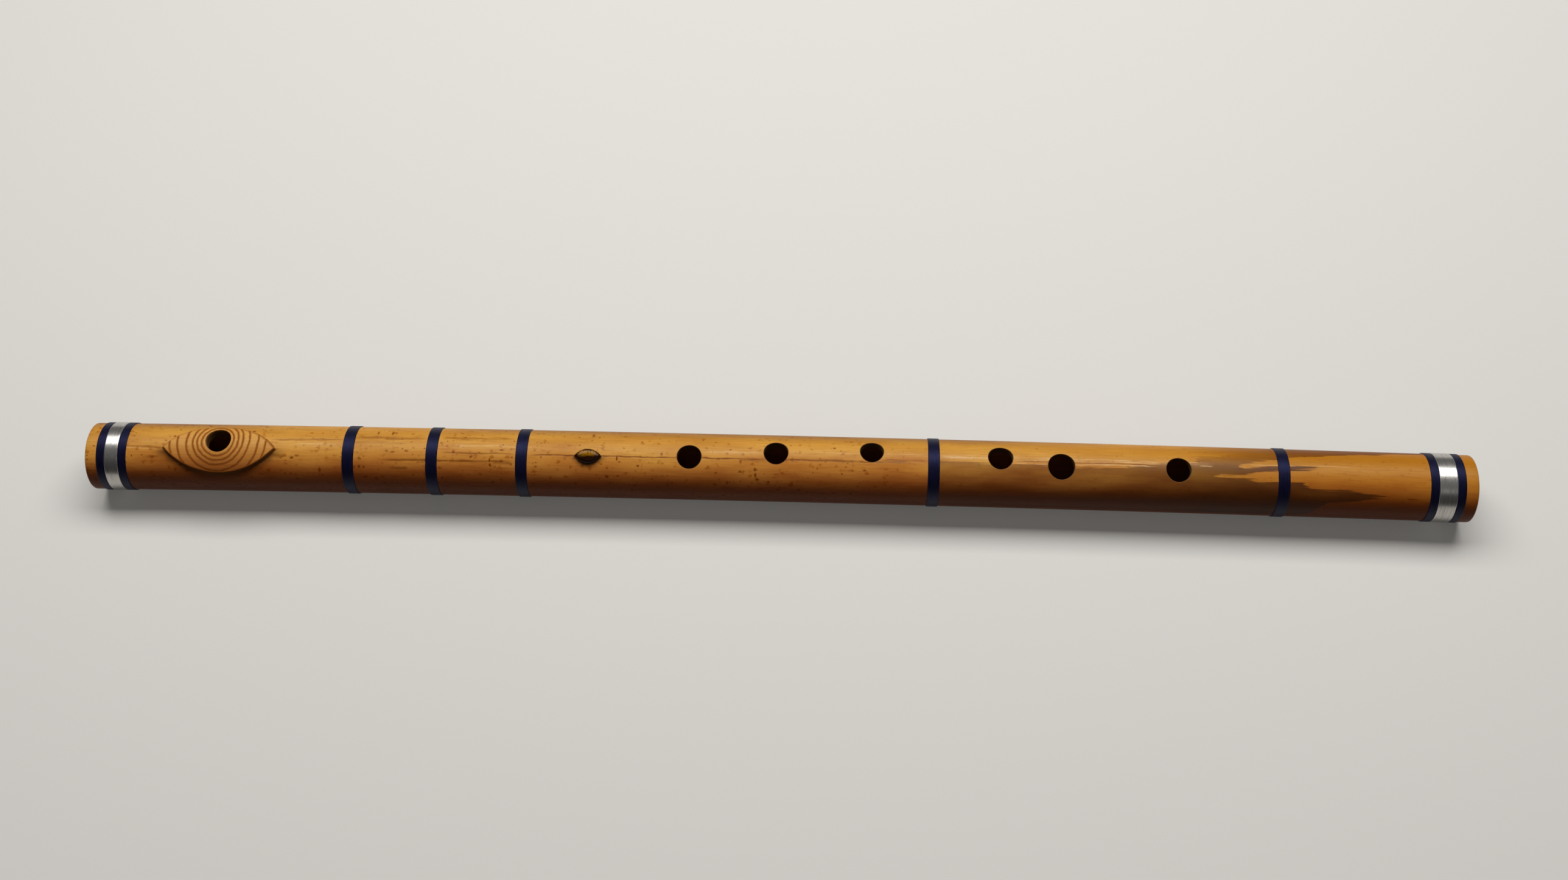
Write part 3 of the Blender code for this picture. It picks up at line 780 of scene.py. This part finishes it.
def hole_rows(edge_x, edge_angle, hole, top, bottom):
    """Rows of (x, angle, radius, char) from a patch's edge at the top radius to the one below."""
    way = np.arctan2((edge_angle - hole[1]) * top, edge_x - hole[0])
    still = np.ones_like(way)
    rim_x, rim_angle = oval(hole, way, HOLE_ROUNDING, top)
    rows = []
    for share in (0.25, 0.5, 0.75, 0.92):
        x = edge_x + share * (rim_x - edge_x)
        rows.append((x, edge_angle + share * (rim_angle - edge_angle), still * top, still * 0))
    wall_top, wall_end = top - HOLE_ROUNDING, bottom + HOLE_ROUNDING
    levels = rim_levels(top)
    levels += [(0.0, wall_top + depth * (wall_end - wall_top), 1.0) for depth in (0.35, 0.7)]
    for turned in np.linspace(0, math.pi / 2, 6):
        rise = HOLE_ROUNDING * (1 - math.sin(turned))
        levels.append((HOLE_ROUNDING * (1 - math.cos(turned)), bottom + rise, 1.0))
    for reach, radius, char in levels:
        rows.append((*oval(hole, way, reach, radius), still * radius, still * char))
    last = rows[-1]
    for share in (0.3, 0.65):
        angle = last[1] + share * (edge_angle - last[1])
        rows.append((last[0] + share * (edge_x - last[0]), angle, still * bottom, still * 0.8))
    return rows


def border(number, rows, first, last):
    """Vertex numbers round a patch of the grid, anticlockwise seen from outside."""
    side = np.arange(first, last + 1)
    legs = [number[rows[:-1], first], number[rows[-1], side[:-1]]]
    legs += [number[rows[:0:-1], last], number[rows[0], side[:0:-1]]]
    return np.concatenate(legs)


# %% Tube skin
def tube_section():
    """Closed section of the tube and the row where the bore begins: outside, foot, bore, head."""
    outside = outside_rows()
    lean = np.radians([20.0, 45.0, 70.0])
    rim_x = FOOT_END - RIM_BEVEL * (1 - np.sin(lean))
    foot = list(zip(rim_x, TUBE_RADIUS - RIM_BEVEL * (1 - np.cos(lean))))
    flat = (TUBE_RADIUS - RIM_BEVEL, *END_RINGS, BORE_RADIUS + BORE_BEVEL)
    foot = np.array([*foot, *[(FOOT_END, radius) for radius in flat], (FOOT_END - BORE_BEVEL, BORE_RADIUS)])
    spots = stations(BORE_STEP)
    spots = spots[(spots > HEAD_END + 2 * MM) & (spots < FOOT_END - 2 * MM)]
    bore = np.stack([spots[::-1], np.full(len(spots), BORE_RADIUS)], axis=1)
    head = foot[::-1] * np.array([-1.0, 1.0])
    section = np.concatenate([outside, foot, bore, head])
    return section, len(outside) + len(foot) - 1


def patch_rows(section, start, stop, x):
    """Rows of the section, in order of x, that lie on a hole's patch."""
    rows = start + np.where(np.abs(section[start:stop, 0] - x) < PATCH_HALF + SLACK)[0]
    return rows[np.argsort(section[rows, 0])]


def tube_skin():
    """Points, quads, UVs and attributes of the whole tube."""
    section, split = tube_section()
    angles = turned_columns(AROUND)
    number, quads = ring_grid(len(section), AROUND)
    keep = np.ones(number.shape, dtype=bool)
    x = np.repeat(section[:, :1], AROUND, axis=1).ravel()
    radius = np.repeat(section[:, 1:], AROUND, axis=1).ravel()
    angle = np.tile(angles, len(section))
    char = (radius < BORE_RADIUS + SLACK) * BORE_CHAR
    stores = [[x], [angle], [radius], [char]]
    total = len(x)
    patches = []
    for hole in HOLES:
        centre = AROUND // 2 + round(hole[1] / (2 * math.pi / AROUND))
        first, last = centre - PATCH_COLUMNS, centre + PATCH_COLUMNS
        above = patch_rows(section, 0, split, hole[0])
        below = patch_rows(section, split, len(section), hole[0])
        for rows in (above, below):
            keep[rows.min():rows.max(), first:last] = False
        ring = border(number, above, first, last)
        rows = hole_rows(x[ring], angle[ring], hole, TUBE_RADIUS, BORE_RADIUS)
        for row in rows:
            here = total + np.arange(len(ring))
            total += len(ring)
            for store, values in zip(stores, row):
                store.append(values)
            patches.append(between(ring, here))
            ring = here
        patches.append(between(ring, border(number, below, first, last)))
    x, angle, radius, char = (np.concatenate(store) for store in stores)
    faces = np.concatenate([quads[keep], *patches])
    uv = np.stack([x, angle * TUBE_RADIUS], axis=1)
    turn = np.degrees(angle) + BORDERS_FROM
    outside = radius > TUBE_RADIUS - RIM_BEVEL
    attributes = {
        "stain": stain_at(x / MM, turn) * outside,
        "stain_depth": stain_depth_at(x / MM, turn),
        "smoke_and_shade": smoke_and_shade_at(x, angle),
        "far_darker": far_darker_at(x / MM, turn) * outside,
        "char": char,
        "sawn": (np.abs(x) > FOOT_END - SLACK).astype(float),
    }
    return on_tube(x, angle, radius), faces.tolist(), uv, attributes


points, faces, uv, attributes = tube_skin()
tube = piece("bamboo_culm", points, faces, bamboo, "flute", uv, attributes)
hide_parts("bamboo_tube")

# %% [markdown]
# ## The lip plate
# A flute maker glues a saddle of bamboo round the blowing hole, cuts it to an almond with two
# compass arcs, and burns rings round the hole with a hot wire. The plate here is one stack of
# rings: up the scorched edge, across the top, round the hole's lip and down the chimney.

# %% Lip plate material
# Scraped bamboo without varnish on top: satin, pale, with wiry burnt lines that sink in a little
RING_RADII = (6.9, 8.9, 10.9, 13.7, 17.6, 20.9)
RING_HALF_WIDTH = 0.85 * MM
RING_WANDER = 0.9 * MM
RING_SHAKE = 0.45 * MM
satin, satin_shader = new_material("burnt_line_bamboo_plate")
surface = add(satin, "UVMap", {}, uv_map="surface")
grain = stretched_noise(satin, surface, (50.0, 1200.0, 1.0), 5.0, 0.6)
grain_dark = add(satin, "MapRange", {"Value": grain, "From Min": 0.3, "From Max": 0.8, "To Max": 0.8})
# Painted shade: the plate turns ruddier away from the lit line, as the tube does
off_line = off_lit_line(satin, add(satin, "SeparateXYZ", {"Vector": surface}, "Y"))
shade_ruddy = add(satin, "MapRange", {"Value": off_line, "From Min": 9 * MM, "From Max": 20 * MM})
wander = add(satin, "TexNoise", {"Vector": surface, "Scale": 190.0, "Detail": 2.0})
shake = add(satin, "TexNoise", {"Vector": surface, "Scale": 800.0, "Detail": 2.0})
distance = add(satin, "VectorMath", {0: surface, 1: (0.0, 0.35 * MM, 0.0)}, operation="ADD")
distance = add(satin, "VectorMath", {0: distance}, "Value", operation="LENGTH")
for noise, swing in ((wander, RING_WANDER), (shake, RING_SHAKE)):
    distance = add(satin, "Math", {0: noise, 1: swing, 2: distance}, operation="MULTIPLY_ADD")
pressure = add(satin, "MapRange", {"Value": shake, "From Min": 0.3, "From Max": 0.6, "To Min": 0.85})
burnt = add(satin, "Attribute", {}, "Fac", attribute_name="outline")
for ring_radius in RING_RADII:
    shifted = ring_radius * MM + (RING_WANDER + RING_SHAKE) / 2
    off = add(satin, "Math", {0: distance, 1: shifted}, operation="SUBTRACT")
    off = add(satin, "Math", {0: off}, operation="ABSOLUTE")
    near = {"Value": off, "From Min": RING_HALF_WIDTH, "From Max": 0.0}
    line = add(satin, "MapRange", near, interpolation_type="SMOOTHSTEP")
    line = add(satin, "Math", {0: line, 1: pressure}, operation="MULTIPLY")
    burnt = add(satin, "Math", {0: burnt, 1: line}, operation="MAXIMUM")
dots = scattered(satin, surface, (2.4, 1.9), 0.13, 0.16, (1.3, 2.4, 0.0))
scorch = add(satin, "Attribute", {}, "Fac", attribute_name="scorch")
soot = layered(satin, "#8C5A2C", ("MIX", grain_dark, "#643A18"))
colour = layered(
    satin,
    "#D89D46",
    ("MIX", grain_dark, "#C07E33"),
    ("MULTIPLY", shade_ruddy, "#DEB6B0"),
    ("MIX", burnt, "#864200"),
    ("MIX", dots, "#8A5A24"),
    ("MIX", scorch, soot),
)
gloss = {"Value": grain, "From Min": 0.3, "From Max": 0.8, "To Min": 0.4, "To Max": 0.52}
gloss = add(satin, "MapRange", gloss)
charred = add(satin, "Math", {0: burnt, 1: scorch}, operation="MAXIMUM")
rough = add(satin, "Math", {0: charred, 1: 0.4, 2: gloss}, operation="MULTIPLY_ADD")
height = add(satin, "Math", {0: burnt, 1: -1.0, 2: grain}, operation="MULTIPLY_ADD")
dent = add(satin, "Bump", {"Height": height, "Strength": 0.5, "Distance": 0.12 * MM})
links = {"Base Color": colour, "Roughness": rough, "Normal": dent}
finish_shader(satin, satin_shader, links, Specular_IOR_Level=0.18)

# %% Lip plate
PLATE_TOP = TUBE_RADIUS + 1.5 * MM
PLATE_FOOT = TUBE_RADIUS + HAIR
PLATE_MIDDLE = (PLATE_FOOT + PLATE_TOP) / 2
PLATE_DRAFT = 0.5 * MM
PLATE_NEAR_SPREAD = 0.42 * MM
PLATE_ROUNDING = 0.22 * MM
# The burnt line along the top's edge: where it starts to fade and where it ends
OUTLINE_FADES = 0.3 * MM
OUTLINE_ENDS = 0.55 * MM
PLATE_POINTS = 240


def pointed_oval(length, width, count):
    """Points of two arcs of one radius that meet in two tips, anticlockwise from the foot-side tip."""
    arc = (length ** 2 + width ** 2) / (4 * width)
    swing = np.linspace(1, -1, count // 2, endpoint=False) * math.asin(length / 2 / arc)
    side = np.stack([arc * np.sin(swing), arc * np.cos(swing) - arc + width / 2], axis=1)
    return np.concatenate([side, -side])


def plate_edge(inset, spread, radius, scorch, line):
    """A row of the edge: the outline, drawn in by inset or spread outwards, at its distance up."""
    outline = pointed_oval(PLATE_LENGTH, PLATE_WIDTH, PLATE_POINTS)
    size = np.array([PLATE_LENGTH, PLATE_WIDTH])
    flat = outline * (1 - 2 * inset / size) * np.array([1 + 2 * spread / PLATE_LENGTH, 1.0])
    near = ramp(outline[:, 1], 0, -PLATE_WIDTH / 2)
    lean = np.clip(outline[:, 1] / (0.15 * PLATE_WIDTH), -1, 1)
    # The near edge keeps some spread up to its top, so it stands up straighter than the rest
    draft = np.maximum(spread, PLATE_NEAR_SPREAD * near ** 3)
    side = PLATE_TOP * np.sin(flat[:, 1] / PLATE_TOP) + draft * np.sin(lean * math.pi / 2)
    x = EMBOUCHURE_X + PLATE_PAST_EMBOUCHURE + flat[:, 0]
    angle = PLATE_TURN + np.arcsin(side / radius)
    # The far side is burnt less
    far = (1 + lean) / 2
    return x, angle, np.full_like(x, radius), scorch * (1 - 0.8 * far), line * (1 - 0.5 * far)


def plate_skin():
    """Rings from the foot of the edge to the chimney's end; UVs are measured from the hole's middle."""
    rows = [
        plate_edge(0.0, PLATE_DRAFT, PLATE_FOOT, 1.0, 1.0),
        plate_edge(0.0, PLATE_DRAFT / 2, PLATE_MIDDLE, 1.0, 1.0),
        plate_edge(0.0, 0.0, PLATE_TOP - PLATE_ROUNDING, 1.0, 1.0),
        plate_edge(PLATE_ROUNDING * 0.3, 0.0, PLATE_TOP - PLATE_ROUNDING * 0.3, 0.6, 1.0),
        plate_edge(PLATE_ROUNDING, 0.0, PLATE_TOP, 0.0, 1.0),
        plate_edge(PLATE_ROUNDING + OUTLINE_FADES, 0.0, PLATE_TOP, 0.0, 0.6),
        plate_edge(PLATE_ROUNDING + OUTLINE_ENDS, 0.0, PLATE_TOP, 0.0, 0.0),
    ]
    edge_x, edge_angle = rows[-1][:2]
    way = np.arctan2(edge_angle * PLATE_TOP, edge_x - EMBOUCHURE_X)
    lip_x, lip_angle = oval(HOLES[0], way, HOLE_ROUNDING, PLATE_TOP)
    still = np.ones_like(way)
    for share in np.linspace(0, 1, 14)[1:-1]:
        x = edge_x + share * (lip_x - edge_x)
        angle = edge_angle + share * (lip_angle - edge_angle)
        rows.append((x, angle, still * PLATE_TOP, still * 0, still * 0))
    levels = [(reach, radius, 0.55 * char) for reach, radius, char in rim_levels(PLATE_TOP)]
    for reach, radius, scorch in [*levels, (0.0, PLATE_FOOT, 0.85)]:
        rows.append((*oval(HOLES[0], way, reach, radius), still * radius, still * scorch, still * 0))
    x, angle, radius, scorch, line = (np.stack(values) for values in zip(*rows))
    number = np.arange(x.size).reshape(x.shape)
    faces = np.concatenate([between(number[k - 1], number[k]) for k in range(len(rows))])
    uv = np.stack([x - EMBOUCHURE_X, angle * PLATE_TOP], axis=-1).reshape(-1, 2)
    return on_tube(x, angle, radius), faces.tolist(), uv, {"scorch": scorch, "outline": line}


points, faces, uv, attributes = plate_skin()
plate = piece("lip_plate_saddle", points, faces, satin, "flute", uv, attributes)
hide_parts("lip_plate")

# %% [markdown]
# ## Thread bindings
# Close turns of silk thread stop bamboo from splitting. A binding is one ring whose outside rises
# and falls with the turns. The ridge shifts by one turn on each trip round the flute, so it is a
# true helix, and slow waves nudge the turns so that they don't look machined.

# %% Thread material
# Navy silk, laid close and brushed with lacquer: dark, with a satin sheen across the turns
silk, silk_shader = new_material("lacquered_navy_silk")
place = add(silk, "TexCoord", {}, "Object")
strand = stretched_noise(silk, place, (5200.0, 240.0, 240.0), 3.0)
strand = add(silk, "MapRange", {"Value": strand, "From Min": 0.35, "From Max": 0.65})
colour = layered(silk, "#0A091C", ("MIX", strand, "#12112A"))
rough = add(silk, "MapRange", {"Value": strand, "To Min": 0.40, "To Max": 0.52})
links = {"Base Color": colour, "Roughness": rough}
finish_shader(silk, silk_shader, links, Specular_IOR_Level=0.38, Specular_Tint=linear("#8C92DC"))

# %% Thread windings
# The real thread is 0.25 mm thick; it is drawn at 0.3 mm so that its turns show in a close view
THREAD = 0.3 * MM
RIDGE = 0.045 * MM
SHOULDER = 0.35 * MM
ROWS_PER_TURN = 6
RING_COLUMNS = 144
# Share of a turn by which the thread strays
WOBBLE = 0.12


def ring_skin(node, x, radius):
    """Points and quads of a closed ring in a node's place, from rows of x and radius along its section."""
    low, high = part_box(node)
    points = on_tube((low[0] + high[0]) / 2 + x, turned_columns(RING_COLUMNS), radius)
    return points, ring_grid(len(x), RING_COLUMNS)[1].reshape(-1, 4).tolist()


def winding(node):
    """Ring with a helical ridge: across each turn of thread the radius follows half a circle."""
    low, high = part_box(node)
    half = (high[0] - low[0] + CLEARANCE) / 2
    crown = (high[2] - low[2]) / 2
    along = np.linspace(-half, half, round(2 * half / THREAD) * ROWS_PER_TURN)
    angle, x = np.meshgrid(turned_columns(RING_COLUMNS), along)
    wobble = WOBBLE * np.sin(3 * angle + 900 * x) * np.sin(2 * angle - 2100 * x)
    phase = (x / THREAD + angle / (2 * math.pi) + wobble) % 1.0
    ridge = np.sqrt(np.clip(1 - (2 * phase - 1) ** 2, 0, 1))
    shoulder = np.clip((half - np.abs(x)) / SHOULDER, 0, 1)
    body = TUBE_RADIUS + (crown - RIDGE - TUBE_RADIUS) * np.sqrt(1 - (1 - shoulder) ** 2)
    radius = body + RIDGE * ridge * np.sqrt(shoulder)
    x = np.pad(x, ((1, 1), (0, 0)), mode="edge")
    radius = np.pad(radius, ((1, 1), (0, 0)), constant_values=TUBE_RADIUS - SEAT_DEPTH + HAIR)
    return ring_skin(node, x, radius)


for node in thread_nodes:
    points, faces = winding(node)
    wound = piece(node + "_thread", points, faces, silk, "flute")
    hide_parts(node)

# %% [markdown]
# ## Metal bands
# The two bands are nickel silver, turned and then polished on the tube: nearly a mirror, with fine
# rings left by the polishing cloth, a few pits, and rims rounded so that they don't cut the hand.

# %% Metal material
# Nickel silver, turned and polished: cool grey, sharp reflections drawn out along the turning
nickel, nickel_shader = new_material("polished_nickel_silver")
place = add(nickel, "TexCoord", {}, "Object")
turning = stretched_noise(nickel, place, (4200.0, 20.0, 20.0), 2.0)
smear = stretched_noise(nickel, place, (1500.0, 90.0, 90.0), 4.0)
pits = add(nickel, "TexVoronoi", {"Vector": place, "Scale": 420.0})
pits = add(nickel, "MapRange", {"Value": pits, "From Min": 0.12, "From Max": 0.05, "To Max": 0.5})
tarnish = add(nickel, "MapRange", {"Value": smear, "From Min": 0.5, "From Max": 0.8, "To Max": 0.5})
colour = layered(nickel, "#C2BFBA", ("MIX", tarnish, "#86817A"), ("MIX", pits, "#4A443C"))
rough = {"Value": smear, "From Min": 0.3, "From Max": 0.7, "To Min": 0.22, "To Max": 0.32}
rough = add(nickel, "MapRange", rough)
height = add(nickel, "Math", {0: pits, 1: -2.0, 2: turning}, operation="MULTIPLY_ADD")
lines = add(nickel, "Bump", {"Height": height, "Strength": 0.12, "Distance": 0.02 * MM})
links = {"Base Color": colour, "Roughness": rough, "Normal": lines}
finish_shader(nickel, nickel_shader, links, Metallic=0.85)

# %% Metal bands
BAND_ROUNDING = 0.28 * MM


def band_ring(node):
    """Turned ring: its section is a flat outside between two quarter-round rims."""
    low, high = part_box(node)
    half = (high[0] - low[0] + 0.6 * CLEARANCE) / 2
    crown = (high[2] - low[2]) / 2
    lean = np.linspace(0, math.pi / 2, 6)
    rim_x = half - BAND_ROUNDING * (1 - np.sin(lean[::-1]))
    rim_radius = crown - BAND_ROUNDING * (1 - np.cos(lean[::-1]))
    flat = np.linspace(-half + 2 * BAND_ROUNDING, half - 2 * BAND_ROUNDING, 5)
    inner = TUBE_RADIUS - SEAT_DEPTH + HAIR
    section_x = np.concatenate([[-half], -rim_x, flat, rim_x[::-1], [half]])
    section_radius = np.concatenate([[inner], rim_radius, np.full(5, crown), rim_radius[::-1], [inner]])
    return ring_skin(node, section_x[:, None], section_radius[:, None])


for node in ("head_band", "foot_band"):
    points, faces = band_ring(node)
    ring = piece(node + "_metal", points, faces, nickel, "flute")
    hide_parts(node)

# %% [markdown]
# ## The stone
# Tiger's eye is quartz full of parallel fibres. A dome cut across them shows a golden band that
# seems to float. Here that band is painted into the colour, partly the stone's own gold and partly a
# fixed sheen on the lit side: it follows the length of the cabochon, a little to the far side of its
# middle, and fine fibres cross it.

# %% Stone material
# Quartz, ground to a dome and polished: glassy surface over brown and gold silk
quartz, quartz_shader = new_material("tiger_eye_quartz")
surface = add(quartz, "UVMap", {}, uv_map="surface")
across = add(quartz, "SeparateXYZ", {"Vector": surface}, "Y")
fibres = stretched_noise(quartz, surface, (1700.0, 300.0, 1.0), 4.0)
patches = add(quartz, "TexNoise", {"Vector": surface, "Scale": 420.0, "Detail": 2.0})
drift = add(quartz, "Math", {0: across, 1: 0.75 * MM}, operation="ADD")
for noise, swing in ((fibres, -1.6 * MM), (patches, -1.8 * MM)):
    drift = add(quartz, "Math", {0: noise, 1: swing, 2: drift}, operation="MULTIPLY_ADD")
drift = add(quartz, "Math", {0: drift}, operation="ABSOLUTE")
# Painted sheen: the golden band, fixed on the lit, far side of the dome
glow = add(quartz, "MapRange", {"Value": drift, "From Min": 1.7 * MM, "From Max": 0.4 * MM})
lengthwise = add(quartz, "SeparateXYZ", {"Vector": surface}, "X")
lengthwise = add(quartz, "Math", {0: lengthwise}, operation="ABSOLUTE")
tips = add(quartz, "MapRange", {"Value": lengthwise, "From Min": 4.8 * MM, "From Max": 2.2 * MM})
silky = add(quartz, "MapRange", {"Value": fibres, "From Min": 0.35, "From Max": 0.6, "To Min": 0.35})
for share in (tips, silky):
    glow = add(quartz, "Math", {0: glow, 1: share}, operation="MULTIPLY")
links = {"Base Color": layered(quartz, "#240D02", ("MIX", glow, "#A8700C"))}
finish_shader(quartz, quartz_shader, links, Roughness=0.09, IOR=1.54, Specular_IOR_Level=0.12)

# %% Stone
STONE_HEIGHT = 2.0 * MM
STONE_SUNK = 0.7 * MM
STONE_FULLNESS = 0.7
STONE_POINTS = 96


def stone_skin():
    """Pointed oval that shrinks by a power of the cosine of a rise and lifts by that power of its sine."""
    outline = pointed_oval(*STONE_SIZE, STONE_POINTS)
    rise = np.concatenate([[0.0], np.radians(np.linspace(0, 88.5, 18))])
    height = TUBE_RADIUS + STONE_HEIGHT * np.sin(rise) ** STONE_FULLNESS
    height[0] = TUBE_RADIUS - STONE_SUNK
    flat = outline[None, :, :] * (np.cos(rise) ** STONE_FULLNESS)[:, None, None]
    lift = np.repeat(height[:, None], STONE_POINTS, axis=1)
    radius = np.hypot(lift, flat[..., 1])
    angle = STONE_TURN + np.arctan2(flat[..., 1], lift)
    number = np.arange(lift.size).reshape(lift.shape)
    quads = np.concatenate([between(number[k], number[k + 1]) for k in range(len(number) - 1)])
    caps = [number[0][::-1].tolist(), number[-1].tolist()]
    return on_tube(STONE_X + flat[..., 0], angle, radius), quads.tolist() + caps, flat.reshape(-1, 2)


points, faces, uv = stone_skin()
stone = piece("tiger_eye_cabochon", points, faces, quartz, "flute", uv)
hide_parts("stone_cabochon")

# %% [markdown]
# ## The stopper
# A cork closes the bore behind the blowing hole. It hardly shows except from the head end, so the
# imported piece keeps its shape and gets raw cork: pale brown cells with dark pores.

# %% Cork material
# Natural cork, cut and sanded: matt, soft brown, with darker pores
raw_cork, cork_shader = new_material("sanded_natural_cork")
place = add(raw_cork, "TexCoord", {}, "Object")
cells = add(raw_cork, "TexVoronoi", {"Vector": place, "Scale": 1100.0})
pores = add(raw_cork, "MapRange", {"Value": cells, "From Min": 0.4, "From Max": 0.75, "To Max": 0.5})
patches = add(raw_cork, "TexNoise", {"Vector": place, "Scale": 260.0, "Detail": 4.0})
patches = add(raw_cork, "MapRange", {"Value": patches, "From Min": 0.35, "From Max": 0.65})
colour = layered(raw_cork, "#B98F63", ("MIX", patches, "#8E6440"), ("MIX", pores, "#5C3B22"))
dimples = add(raw_cork, "Bump", {"Height": cells, "Strength": 0.5, "Distance": 0.2 * MM})
finish_shader(raw_cork, cork_shader, {"Base Color": colour, "Normal": dimples}, Roughness=0.85)
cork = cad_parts["stopper_cork"]
cork.data.materials.clear()
cork.data.materials.append(raw_cork)
